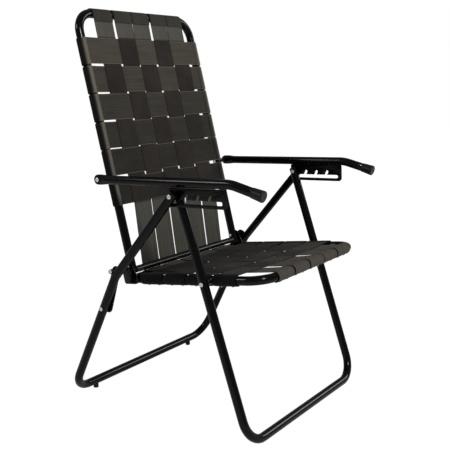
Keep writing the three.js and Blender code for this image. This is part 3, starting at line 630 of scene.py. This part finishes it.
def lathe(name, profile, origin, axis, material, sides, sharp=35):
    axis = Vector(axis).normalized()
    first = axis.orthogonal().normalized()
    second = axis.cross(first)
    vertices, faces, rings = [], [], []
    for radius, height in profile:
        centre = Vector(origin) + axis * height
        if radius == 0:
            rings.append([len(vertices)] * sides)
            vertices.append(centre)
            continue
        rings.append(list(range(len(vertices), len(vertices) + sides)))
        for k in range(sides):
            angle = math.tau * k / sides
            vertices.append(centre + first * radius * math.cos(angle) + second * radius * math.sin(angle))
    for low, high in zip(rings, rings[1:]):
        for k in range(sides):
            n = (k + 1) % sides
            loop = list(dict.fromkeys((low[k], low[n], high[n], high[k])))
            if len(loop) > 2:
                faces.append(loop)
    piece = meshObject(name, vertices, faces, material)
    fixNormals(piece, weldDistance)
    piece.data.set_sharp_from_angle(angle=math.radians(sharp))
    return piece


# arm caps: a slow flare towards the nose, a rounded rim and a flat face with a shallow dish
armCap = {"reach": 30 * mm, "wall": 0.9 * mm, "flare": 1.5 * mm, "flarePower": 1.4, "crown": 4 * mm,
          "gap": 0.15 * mm, "nose": 2.6 * mm, "lip": 0.3 * mm, "lipRun": 0.4 * mm, "steps": 8,
          "dishRim": 5.2 * mm, "dish": 4.8 * mm, "dishDepth": 0.5 * mm, "sides": 48}


def makeArmCap(side, tip, heading, size):
    inner, steps = tubeRadius + size["gap"], size["steps"]
    slim = inner + size["wall"]
    wide = slim + size["flare"]
    mouth, crown, nose = size["crown"] - size["reach"], size["crown"], size["nose"]
    profile = [(inner, mouth), (slim - size["lip"], mouth), (slim, mouth + size["lipRun"])]
    for share in (k / steps for k in range(1, steps + 1)):
        flare = (wide - slim) * share ** size["flarePower"]
        profile.append((slim + flare, mouth + (crown - nose - mouth) * share))
    for angle in (math.pi / 2 * k / steps for k in range(1, steps + 1)):
        profile.append((wide - nose * (1 - math.cos(angle)), crown - nose * (1 - math.sin(angle))))
    floor = crown - size["dishDepth"]
    profile += [(size["dishRim"], crown), (size["dish"], floor), (0, floor)]
    name = sideNames[side]
    cap = lathe(f"armEndCap{name.title()}", profile, tip, heading, capPlastic, size["sides"])
    settle(cap, "arms", "arm_caps", [f"arm_end_cap_{name}"])


for side in sideNames:
    tip, heading = makeArm(side, armShape)
    makeArmCap(side, tip, heading, armCap)
print("armrests made")


# flat plates and glides: the solids' own outlines with their edges eased, angles in degrees
plateEdges = {"bevel": 0.45 * mm, "segments": 2, "weld": 2e-6, "flat": 1.5, "bevelFrom": 50, "sharpFrom": 32}
plates = (("notch_plate", "notchPlate", "arms", "tube_frame", plateCoat),
          ("hinge_bracket", "hingeBracket", "seat", "tube_frame", plateCoat),
          ("fold_link", "foldLink", "links", "tube_frame", plateCoat),
          ("rear_glide", "rearGlide", "rear_legs", "glides", glidePlastic))


def easedCopy(node, name, body, slot, material, size):
    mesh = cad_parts[node].data.copy()
    mesh.name = name
    mesh.materials.clear()
    mesh.materials.append(material)
    piece = addObject(name, mesh)
    bm = bmesh.new()
    bm.from_mesh(mesh)
    bmesh.ops.remove_doubles(bm, verts=bm.verts, dist=size["weld"])
    bmesh.ops.dissolve_limit(bm, angle_limit=math.radians(size["flat"]), verts=bm.verts, edges=bm.edges)
    bm.to_mesh(mesh)
    bm.free()
    ease = piece.modifiers.new("ease", "BEVEL")
    ease.width, ease.segments = size["bevel"], size["segments"]
    ease.limit_method, ease.angle_limit = "ANGLE", math.radians(size["bevelFrom"])
    piece = plainCopy(piece, name)
    piece.data.polygons.foreach_set("use_smooth", [True] * len(piece.data.polygons))
    piece.data.set_sharp_from_angle(angle=math.radians(size["sharpFrom"]))
    settle(piece, body, slot, [node])


for word in sideNames.values():
    for node, name, body, slot, material in plates:
        easedCopy(f"{node}_{word}", name + word.title(), body, slot, material, plateEdges)
print("plates and glides made")


# spacers, stubs and studs: from one distance beside the middle to another, in mm, solid or bored
turnedShape = {"outer": 6 * mm, "bore": 2.5 * mm, "ease": 0.5 * mm, "sides": 32}
turnedParts = (("arm_spacer", "armSpacer", armPivot, 236.8, 264.3, "back", True),
               ("seat_pivot_spacer", "seatPivotSpacer", seatPivot, 236.8, 251.1, "front_legs", False),
               ("fold_stub", "foldStub", linkUpper, 238.0, 273.5, "seat", True),
               ("stop_stud", "stopStud", linkUpper, 276.5, 292.5, "links", False))


def sleeve(node, name, point, fromX, toX, side, body, solid):
    outer, ease = turnedShape["outer"], turnedShape["ease"]
    bore = 0 if solid else turnedShape["bore"]
    profile = [(bore, fromX), (outer - ease, fromX), (outer, fromX + ease), (outer, toX - ease),
               (outer - ease, toX), (bore, toX)]
    if not solid:
        profile.append((bore, fromX))
    piece = lathe(name, profile, placeAt(0, point), (side, 0, 0), coat, turnedShape["sides"])
    settle(piece, body, "tube_frame", [node])


for side, word in sideNames.items():
    for node, name, point, fromX, toX, body, solid in turnedParts:
        sleeve(f"{node}_{word}", name + word.title(), point, fromX * mm, toX * mm, side, body, solid)


# rivets and screws: Geometry Nodes set a head or a shank on each marked point
rivetShape = {"head": 5.5 * mm, "smallHead": 4 * mm, "height": 2.1 * mm, "shank": 2.3 * mm, "pin": 3 * mm}
screwShape = {"head": 3.4 * mm, "height": 1.7 * mm}


def makeFastenerTree():
    tree, entry = newGeometryTree("fasteners", {"Head": "Object", "Shank": "Object", "Material": "Material"})
    points = addNode(tree, "GeometryNodeMeshToPoints", {0: entry["Geometry"]}).outputs[0]
    axis = namedAttribute(tree, "axis", "FLOAT_VECTOR")
    turn = addNode(tree, "FunctionNodeAlignRotationToVector", {"Vector": axis}, axis="Z").outputs[0]
    isHead = namedAttribute(tree, "isHead", "BOOLEAN")
    notHead = addNode(tree, "FunctionNodeBooleanMath", {0: isHead}, operation="NOT").outputs[0]
    joined = addNode(tree, "GeometryNodeJoinGeometry")
    for label, chosen in (("Head", isHead), ("Shank", notHead)):
        shape = addNode(tree, "GeometryNodeObjectInfo", {"Object": entry[label]}).outputs["Geometry"]
        placed = addNode(tree, "GeometryNodeInstanceOnPoints",
                         {"Points": points, "Selection": chosen, "Instance": shape, "Rotation": turn,
                          "Scale": namedAttribute(tree, "size", "FLOAT_VECTOR")}).outputs[0]
        feed(tree, joined.inputs[0], placed)
    return closeGeometryTree(tree, joined.outputs[0], entry["Material"])


# templates have radius 1 and stand on z = 0 with height 1
templateShape = {"domeRim": 0.18, "domeSteps": 7, "domeSides": 28, "sides": 20, "sharp": 60, "rodSharp": 35,
                 "screwRim": ((1.0, 0.35), (0.93, 0.68), (0.78, 0.88), (0.5, 1.0)),
                 "crossLong": 0.86, "crossWide": 0.17, "crossDeep": 0.5, "crossMiddle": 0.77}


def template(name, outline, sides, sharp):
    return lathe(name, [(0, 0), (1, 0), *outline, (0, 1)], (0, 0, 0), (0, 0, 1), zinc, sides, sharp)


def screwTemplate(size):  # a pan head with a cross set in it
    head = template("screwTemplate", size["screwRim"], size["sides"], size["sharp"])
    bm = bmesh.new()
    bm.from_mesh(head.data)
    for sizes in ((size["crossLong"], size["crossWide"]), (size["crossWide"], size["crossLong"])):
        bar = bmesh.ops.create_cube(bm, size=1.0)
        bmesh.ops.scale(bm, vec=(*sizes, size["crossDeep"]), verts=bar["verts"])
        bmesh.ops.translate(bm, vec=(0, 0, size["crossMiddle"]), verts=bar["verts"])
    bm.to_mesh(head.data)
    bm.free()
    return head


def domeTemplate(size):
    rim, steps = size["domeRim"], size["domeSteps"]
    angles = [math.pi / 2 * k / steps for k in range(1, steps)]
    outline = [(1, rim)] + [(math.cos(angle), rim + (1 - rim) * math.sin(angle)) for angle in angles]
    return template("domeTemplate", outline, size["domeSides"], size["sharp"])


fastenerTree = makeFastenerTree()
dome = domeTemplate(templateShape)
rod = template("rodTemplate", [(1, 1)], templateShape["sides"], templateShape["rodSharp"])
screw = screwTemplate(templateShape)


# a mark is its place, its axis, its size and whether it is a head
def fastenerSet(name, body, head, marks, nodes=()):
    places, axes, sizes, heads = zip(*marks)
    mesh = bpy.data.meshes.new(name)
    mesh.from_pydata([tuple(place) for place in places], [], [])
    for label, kind, key, values in (("axis", "FLOAT_VECTOR", "vector", [c for axis in axes for c in axis]),
                                     ("size", "FLOAT_VECTOR", "vector", [c for size in sizes for c in size]),
                                     ("isHead", "BOOLEAN", "value", heads)):
        mesh.attributes.new(label, kind, "POINT").data.foreach_set(key, values)
    piece = runTree(addObject(name + "Points", mesh), fastenerTree, name,
                    {"Head": head, "Shank": rod, "Material": zinc})
    settle(piece, body, "rivets", nodes)


def rivetMarks(point, fromX, toX, innerHead, outerHead, side, shank):
    axis = Vector((side, 0, 0))
    marks = [(placeAt(side * fromX, point), axis, (shank, shank, toX - fromX), False)]
    for head, x, outward in ((innerHead, fromX, -axis), (outerHead, toX, axis)):
        if head:
            marks.append((placeAt(side * x, point), outward, (head, head, rivetShape["height"]), True))
    return marks


def makeRivets(shape):  # each plan runs from one distance beside the middle to another, in mm
    head, small, shank, thick = shape["head"], shape["smallHead"], shape["shank"], shape["pin"]
    plans = {
        "seatPivotRivets": ("front_legs", seatPivot, 212.7, 273.7, head, head, shank, "seat_pivot_rivet"),
        "notchPinsInner": ("front_legs", pin, 251.1, 273.1, head, 0, thick, "notch_pin_inner"),
        "notchPinsOuter": ("rear_legs", pin, 276.8, 298.8, 0, head, thick, "notch_pin_outer"),
        "linkLowerRivets": ("rear_legs", linkLower, 273.75, 298.8, 0, head, shank, "link_lower_rivet"),
        "stopStudRivets": ("links", linkUpper, 273.75, 292.8, 0, head, shank, "stop_stud_rivet"),
        "backHingeRivets": ("back_hinge", backHinge, 212.7, 238.0, small, small, shank, "back_hinge_rivet"),
        "armPostHeads": ("back", armPivot, 212.7, 237.0, head, 0, shank, None),
        "armPivotRivets": ("arm_pivots", armPivot, 264.6, 277.9, 0, head, shank, "arm_pivot_rivet"),
    }
    for name, (body, point, fromX, toX, inner, outer, radius, node) in plans.items():
        marks = []
        for side in sideNames:
            marks += rivetMarks(point, fromX * mm, toX * mm, inner, outer, side, radius)
        nodes = [f"{node}_{word}" for word in sideNames.values()] if node else ()
        fastenerSet(name, body, dome, marks, nodes)


makeRivets(rivetShape)
print("rivets set")


# webbing: one strap's section, its wraps round the bars and the flap that comes back to the front
strapShape = {"width": 67.3 * mm, "thickness": 1.15 * mm, "gap": 0.2 * mm, "lift": 0.75 * mm, "columns": 14,
              "step": 4 * mm, "edge": 0.45, "taperFrom": 0.44, "taperOver": 0.06, "sharp": 60,
              "wrap": 1.03, "tuck": 0.58, "wrapSteps": 20, "layerGap": 0.12 * mm, "foldSteps": 6,
              "flapStep": 3 * mm, "flapDrop": 0.25 * mm, "straightFrom": 30 * mm,
              "layers": 2.1, "screwShare": 0.25, "sagMargin": 4 * mm, "sagPower": 0.7,
              "longDrift": 0.4, "crossDrift": 0.5, "freeBlend": 5 * mm, "darkBlend": 4 * mm,
              "bandIn": 3 * mm, "bandOut": 6 * mm, "bandFade": 2 * mm}
# a bar is its radius and the side of it that the strap passes: 1 in front, -1 behind
seatWebbing = {"body": "seat", "from": -142 * mm, "to": 254 * mm, "sag": 7 * mm,
               "rows": [(row - 0.5) * 74.4 * mm for row in range(4)],
               "columns": [(share * halfSeat - skew * mm, share * halfSeat) for share, skew in
                           ((-0.652, 0), (-0.326, 0), (0, 0), (0.326, 3), (0.652, 3))],
               "startFlap": 13 * mm, "endFlap": 0, "rowFlap": 12 * mm,
               "startBar": (tubeRadius, 1), "endBar": (tubeRadius, 1),
               "darkFrom": -12 * mm, "band": 0.0, "startTone": 1.0, "endTone": 0.0}
backWebbing = {"body": "back", "from": -13 * mm, "to": 646.8 * mm, "sag": 5 * mm,
               "rows": [(226.2 + (4.5 - row) * 71.6 + nudge) * mm
                        for row, nudge in enumerate((-0.5, -1.5, -2, -1.5, 0, -3))],
               "columns": [(low * halfSeat, high * halfSeat) for low, high in
                           ((-0.637, -0.636), (-0.324, -0.3), (-0.012, 0.007), (0.308, 0.344),
                            (0.623, 0.65))],
               "startFlap": 0, "endFlap": 23 * mm, "rowFlap": 12 * mm,
               "startBar": (8 * mm, -1), "endBar": (tubeRadius, 1),
               "darkFrom": 7 * mm, "band": 0.75, "startTone": 0.0, "endTone": 0.3}


def wrapLine(centre, bar, toEnd, flap, shape):
    # from the flat run round the bar, then for a flap back over itself to the front
    radius, facing = bar
    inner = radius + shape["gap"] + shape["thickness"] / 2
    steps, wrap = shape["wrapSteps"], math.pi * shape["wrap"]
    sweep = wrap if flap else math.pi * (1.0 if facing > 0 else shape["tuck"])
    points = []

    def addPoint(reach, angle):
        points.append((centre + reach * math.cos(angle), facing * reach * math.sin(angle)))

    for k in range(steps + 1):
        addPoint(inner, math.pi / 2 - toEnd * sweep * k / steps)
    if not flap:
        return points
    outer = inner + shape["thickness"] + shape["layerGap"]
    middle, half = (inner + outer) / 2, (outer - inner) / 2
    last = math.pi / 2 - toEnd * wrap
    for k in range(1, shape["foldSteps"]):  # the fold behind the bar
        turn = math.pi * k / shape["foldSteps"]
        addPoint(middle - half * math.cos(turn), last - toEnd * math.sin(turn) * half / middle)
    for k in range(steps + 1):
        addPoint(outer, last + toEnd * wrap * k / steps)
    runs = max(int(flap / shape["flapStep"]), 2)
    for k in range(1, runs + 1):
        drop = shape["flapDrop"] * (k / runs) ** 2
        points.append((centre - toEnd * flap * k / runs, facing * (outer - drop)))
    return points


def strapLine(length, bars, flaps, crossings, shape):
    # the strap's line seen from its side: (along, height, on the flat run or not)
    above = shape["gap"] + shape["thickness"] / 2
    start = reversed(wrapLine(0.0, bars[0], -1, flaps[0], shape))
    end = wrapLine(length, bars[1], 1, flaps[1], shape)
    knots = [(0.0, bars[0][1] * (bars[0][0] + above))]
    for centre, half, lift in crossings:
        height = tubeRadius + above + lift * shape["lift"]
        knots += [(centre - half, height), (centre + half, height)]
    knots.append((length, bars[1][1] * (bars[1][0] + above)))
    run = []
    count = int(length / shape["step"])
    for k in range(1, count):
        along = length * k / count
        for (a, low), (b, high) in zip(knots, knots[1:]):
            if a <= along <= b:
                share = (along - a) / (b - a)
                bend = share if b - a > shape["straightFrom"] else smoothStep(share)
                run.append((along, low + (high - low) * bend, True))
                break
    return [(a, h, False) for a, h in start] + run + [(a, h, False) for a, h in end]


def makeStrap(name, placeOf, line, tones, shape, material):
    columns, thick = shape["columns"], shape["thickness"]
    vertices, uvs = [], []
    toned = {label: [] for label in tones}
    lengths = [0.0]
    for (a, b, _), (c, d, _) in zip(line, line[1:]):
        lengths.append(lengths[-1] + math.hypot(c - a, d - b))
    for index, (along, height, onRun) in enumerate(line):
        before, after = line[max(index - 1, 0)], line[min(index + 1, len(line) - 1)]
        heading = Vector((after[0] - before[0], after[1] - before[1])).normalized()
        normal = Vector((-heading.y, heading.x))
        for face in (1, -1):
            for k in range(columns + 1):
                u = k / columns if face == 1 else 1 - k / columns
                across = u - 0.5
                taper = smoothStep((abs(across) - shape["taperFrom"]) / shape["taperOver"])
                offset = normal * (face * thick / 2 * (1 - (1 - shape["edge"]) * taper))
                vertices.append(placeOf(along + offset.x, across, height + offset.y, along, onRun))
                uvs.append((u, lengths[index]))
                for label, toneOf in tones.items():
                    toned[label].append(toneOf(along, height, onRun))
    ring = 2 * (columns + 1)
    faces = ringFaces(len(line), ring)
    for r in (0, len(line) - 1):
        for k in range(columns):
            quad = (r * ring + k, r * ring + k + 1, r * ring + ring - 2 - k, r * ring + ring - 1 - k)
            faces.append(quad if r == 0 else tuple(reversed(quad)))
    strap = meshObject(name, vertices, faces, material)
    layer = strap.data.uv_layers.new(name="strapUv")
    loops = np.zeros(len(strap.data.loops), np.int32)
    strap.data.loops.foreach_get("vertex_index", loops)
    layer.data.foreach_set("uv", np.array(uvs, np.float32)[loops].ravel())
    for label, values in toned.items():
        strap.data.attributes.new(label, "FLOAT", "POINT").data.foreach_set("value", values)
    fixNormals(strap)
    strap.data.set_sharp_from_angle(angle=math.radians(shape["sharp"]))
    return strap, lengths[-1]


def weavePanel(panel, webbing, acrossMaterials, alongMaterial, shape):
    low, high, body = webbing["from"], webbing["to"], webbing["body"]
    length, width = high - low, shape["width"]
    rows, columns = webbing["rows"], webbing["columns"]
    screws = []

    def columnX(column, along):
        return column[0] + (column[1] - column[0]) * (along - low) / length

    def sagAt(x, along):
        sideways = max(1 - (x / (halfSeat - shape["sagMargin"])) ** 2, 0)
        lengthways = max(1 - ((along - (low + high) / 2) / (length / 2)) ** 2, 0)
        return webbing["sag"] * sideways * lengthways ** shape["sagPower"]

    def isOver(row, column):
        return 1 if (row + column) % 2 == 0 else -1

    def addStrap(kind, number, placeOf, line, tones, material):
        strap, cut = makeStrap(f"{body}{kind.title()}Strap{number}", placeOf, line, tones, shape, material)
        settle(strap, body, f"webbing_{kind}", [f"{body}_strap_{kind}_{number}"])

    def addScrews(placeOf, radius, flap):  # a pair behind a bar
        depth = radius + shape["gap"] + shape["thickness"] * (shape["layers"] if flap else 1)
        for share in (-shape["screwShare"], shape["screwShare"]):
            screws.append((placeOf(share * width, -depth), -panel.up,
                           (screwShape["head"], screwShape["head"], screwShape["height"]), True))

    ends = ((low, webbing["startBar"], webbing["startFlap"]), (high, webbing["endBar"], webbing["endFlap"]))
    for c, column in enumerate(columns):
        crossings = sorted((y - low, width / 2, -isOver(r, c)) for r, y in enumerate(rows))
        line = strapLine(length, [bar for _, bar, _ in ends], [flap for _, _, flap in ends], crossings, shape)
        drift = random.uniform(-shape["longDrift"], shape["longDrift"]) * mm

        def placeOf(along, across, height, centre, onRun):
            x = columnX(column, low + centre) + across * width + drift
            return panel.point(x, low + along, height - (sagAt(x, low + centre) if onRun else 0))

        def freeOf(along, height, onRun):
            if not onRun:
                return webbing["startTone"] if along < length / 2 else webbing["endTone"]
            above = smoothStep((low + along - max(rows) - width / 2) / shape["freeBlend"])
            below = smoothStep((min(rows) - width / 2 - low - along) / shape["freeBlend"])
            return max(above, below)

        addStrap("long", c + 1, placeOf, line, {"freeRun": freeOf}, alongMaterial)
        for end, (radius, facing), flap in ends:
            if facing > 0:  # an end tucked under its bar has no screws
                addScrews(lambda shift, up: panel.point(columnX(column, end) + shift, end, up), radius, flap)
    for r, y in enumerate(rows):
        crossings = []
        for c, column in enumerate(columns):
            slant = abs(column[1] - column[0]) / length
            crossings.append((columnX(column, y) + halfSeat, width * (1 + slant) / 2, isOver(r, c)))
        line = strapLine(2 * halfSeat, [(tubeRadius, 1)] * 2, [webbing["rowFlap"]] * 2, crossings, shape)
        drift = random.uniform(-shape["crossDrift"], shape["crossDrift"]) * mm

        def placeOf(along, across, height, centre, onRun):
            here = y + across * width + drift
            sag = sagAt(centre - halfSeat, here) if onRun else 0
            return panel.point(along - halfSeat, here, height - sag)

        # painted shade: each row darkens where it wraps round the outer side of a side tube, from darkFrom
        # outward
        def outerSideShade(along, height, onRun):
            past = max(-along, along - 2 * halfSeat)
            return smoothStep((past - webbing["darkFrom"]) / shape["darkBlend"])

        # painted highlight: a light band on the back's rows just inside where they wrap over the side tubes
        def sideHighlight(along, height, onRun):
            past = max(-along, along - 2 * halfSeat)
            inside = smoothStep((past + shape["bandIn"]) / shape["bandIn"])
            outside = smoothStep((past - shape["bandOut"]) / shape["bandFade"])
            return webbing["band"] * inside * (1 - outside) if height > 0 else 0

        tones = {"outerSideShade": outerSideShade, "sideHighlight": sideHighlight}
        addStrap("cross", r + 1, placeOf, line, tones, acrossMaterials[r])
        for end in (-halfSeat, halfSeat):
            addScrews(lambda shift, up: panel.point(end, y + shift, up), tubeRadius, True)
    fastenerSet(f"{body}StrapScrews", body, screw, screws)


def blendedHex(first, second, share):
    pairs = [(int(first[i:i + 2], 16), int(second[i:i + 2], 16)) for i in (1, 3, 5)]
    return "#%02x%02x%02x" % tuple(round(a * (1 - share) + b * share) for a, b in pairs)


def makeWebbing(look, shape):
    def acrossMaterials(webbing, first, last, edgeTone):
        steps = len(webbing["rows"]) - 1
        tones = [blendedHex(look[first], look[last], row / steps) for row in range(steps + 1)]
        return [makeWebbingMaterial(f"{webbing['body']}WebbingAcross{row + 1}", tone, tone, look, look[edgeTone])
                for row, tone in enumerate(tones)]

    def alongMaterial(name, woven, free):
        return makeWebbingMaterial(name, look[woven], look[free], look, look["edgeTone"])

    # the back's rows take a painted highlight along their edges
    backAcross = acrossMaterials(backWebbing, "acrossTop", "acrossLow", "rowEdgeHighlight")
    backAlong = alongMaterial("backWebbingAlong", "alongWoven", "alongFree")
    # painted shade: the seat's rows darken towards the rear, under the back
    seatAcross = acrossMaterials(seatWebbing, "seatFront", "seatRearShade", "edgeTone")
    # painted highlight: the seat's long straps are lighter on their free runs and on their wraps round the
    # front bar
    seatAlong = alongMaterial("seatWebbingAlong", "seatAlong", "seatWrapHighlight")
    weavePanel(backPanel, backWebbing, backAcross, backAlong, shape)
    weavePanel(seatPanel, seatWebbing, seatAcross, seatAlong, shape)


makeWebbing(webbingLook, strapShape)
for pattern in (dome, rod, screw):
    bpy.data.objects.remove(pattern, do_unlink=True)
print("webbing woven")


# floor, light and background: their glow is for the camera alone
stageLook = {"floor": "#f4f4f2", "floorHalf": 9.0, "floorRough": 0.9, "floorGloss": 0.1, "nearGlow": 0.92,
             "glow": 1.07, "clearFrom": 1.0, "clearTo": 3.0, "world": 0.28}
lamps = {"keyLamp": {"place": (-1.4, -2.2, 2.6), "size": 0.55, "power": 66},
         "fillLamp": {"place": (2.4, -1.6, 1.6), "size": 1.1, "power": 26},
         "rimLamp": {"place": (-2.2, 1.8, 2.2), "size": 0.8, "power": 24}}
lampAim = Vector((0, 0, 0.5))
white = (1, 1, 1, 1)


def makeFloor(look):
    material, tree, _ = newMaterial("paleFloor", Base_Color=linear(look["floor"]),
                                    Roughness=look["floorRough"], Specular_IOR_Level=look["floorGloss"])
    glow = addNode(tree, "ShaderNodeEmission", {"Color": white, "Strength": look["glow"]}).outputs[0]
    camera = addNode(tree, "ShaderNodeLightPath").outputs["Is Camera Ray"]
    reach = addNode(tree, "ShaderNodeVectorMath", {0: objectPlace(tree)}, operation="LENGTH").outputs["Value"]
    share = rangeNode(tree, reach, (look["clearFrom"], look["clearTo"]), (look["nearGlow"], 1.0))
    mixed = addNode(tree, "ShaderNodeMixShader", {0: product(tree, camera, share),
                                                  1: tree.nodes["Principled BSDF"].outputs[0], 2: glow})
    feed(tree, tree.nodes["Material Output"].inputs["Surface"], mixed.outputs[0])
    half = look["floorHalf"]
    corners = [(-half, -half, 0), (half, -half, 0), (half, half, 0), (-half, half, 0)]
    meshObject("floor", corners, [(0, 1, 2, 3)], material, False)


def makeWorld(look):
    scene.world = bpy.data.worlds.new("softStudio")
    scene.world.use_nodes = True
    tree = scene.world.node_tree
    seen = addNode(tree, "ShaderNodeLightPath").outputs["Is Camera Ray"]
    background = tree.nodes["Background"].inputs
    feed(tree, background["Color"], white)
    feed(tree, background["Strength"], mathNode(tree, "MULTIPLY_ADD", seen, 1 - look["world"], look["world"]))


def addLamp(name, place, size, power):
    data = bpy.data.lights.new(name, "AREA")
    data.shape, data.size, data.energy = "DISK", size, power
    aimObject(addObject(name, data), place, lampAim - Vector(place))


makeFloor(stageLook)
makeWorld(stageLook)
for name, lamp in lamps.items():
    addLamp(name, **lamp)
print("stage lit")
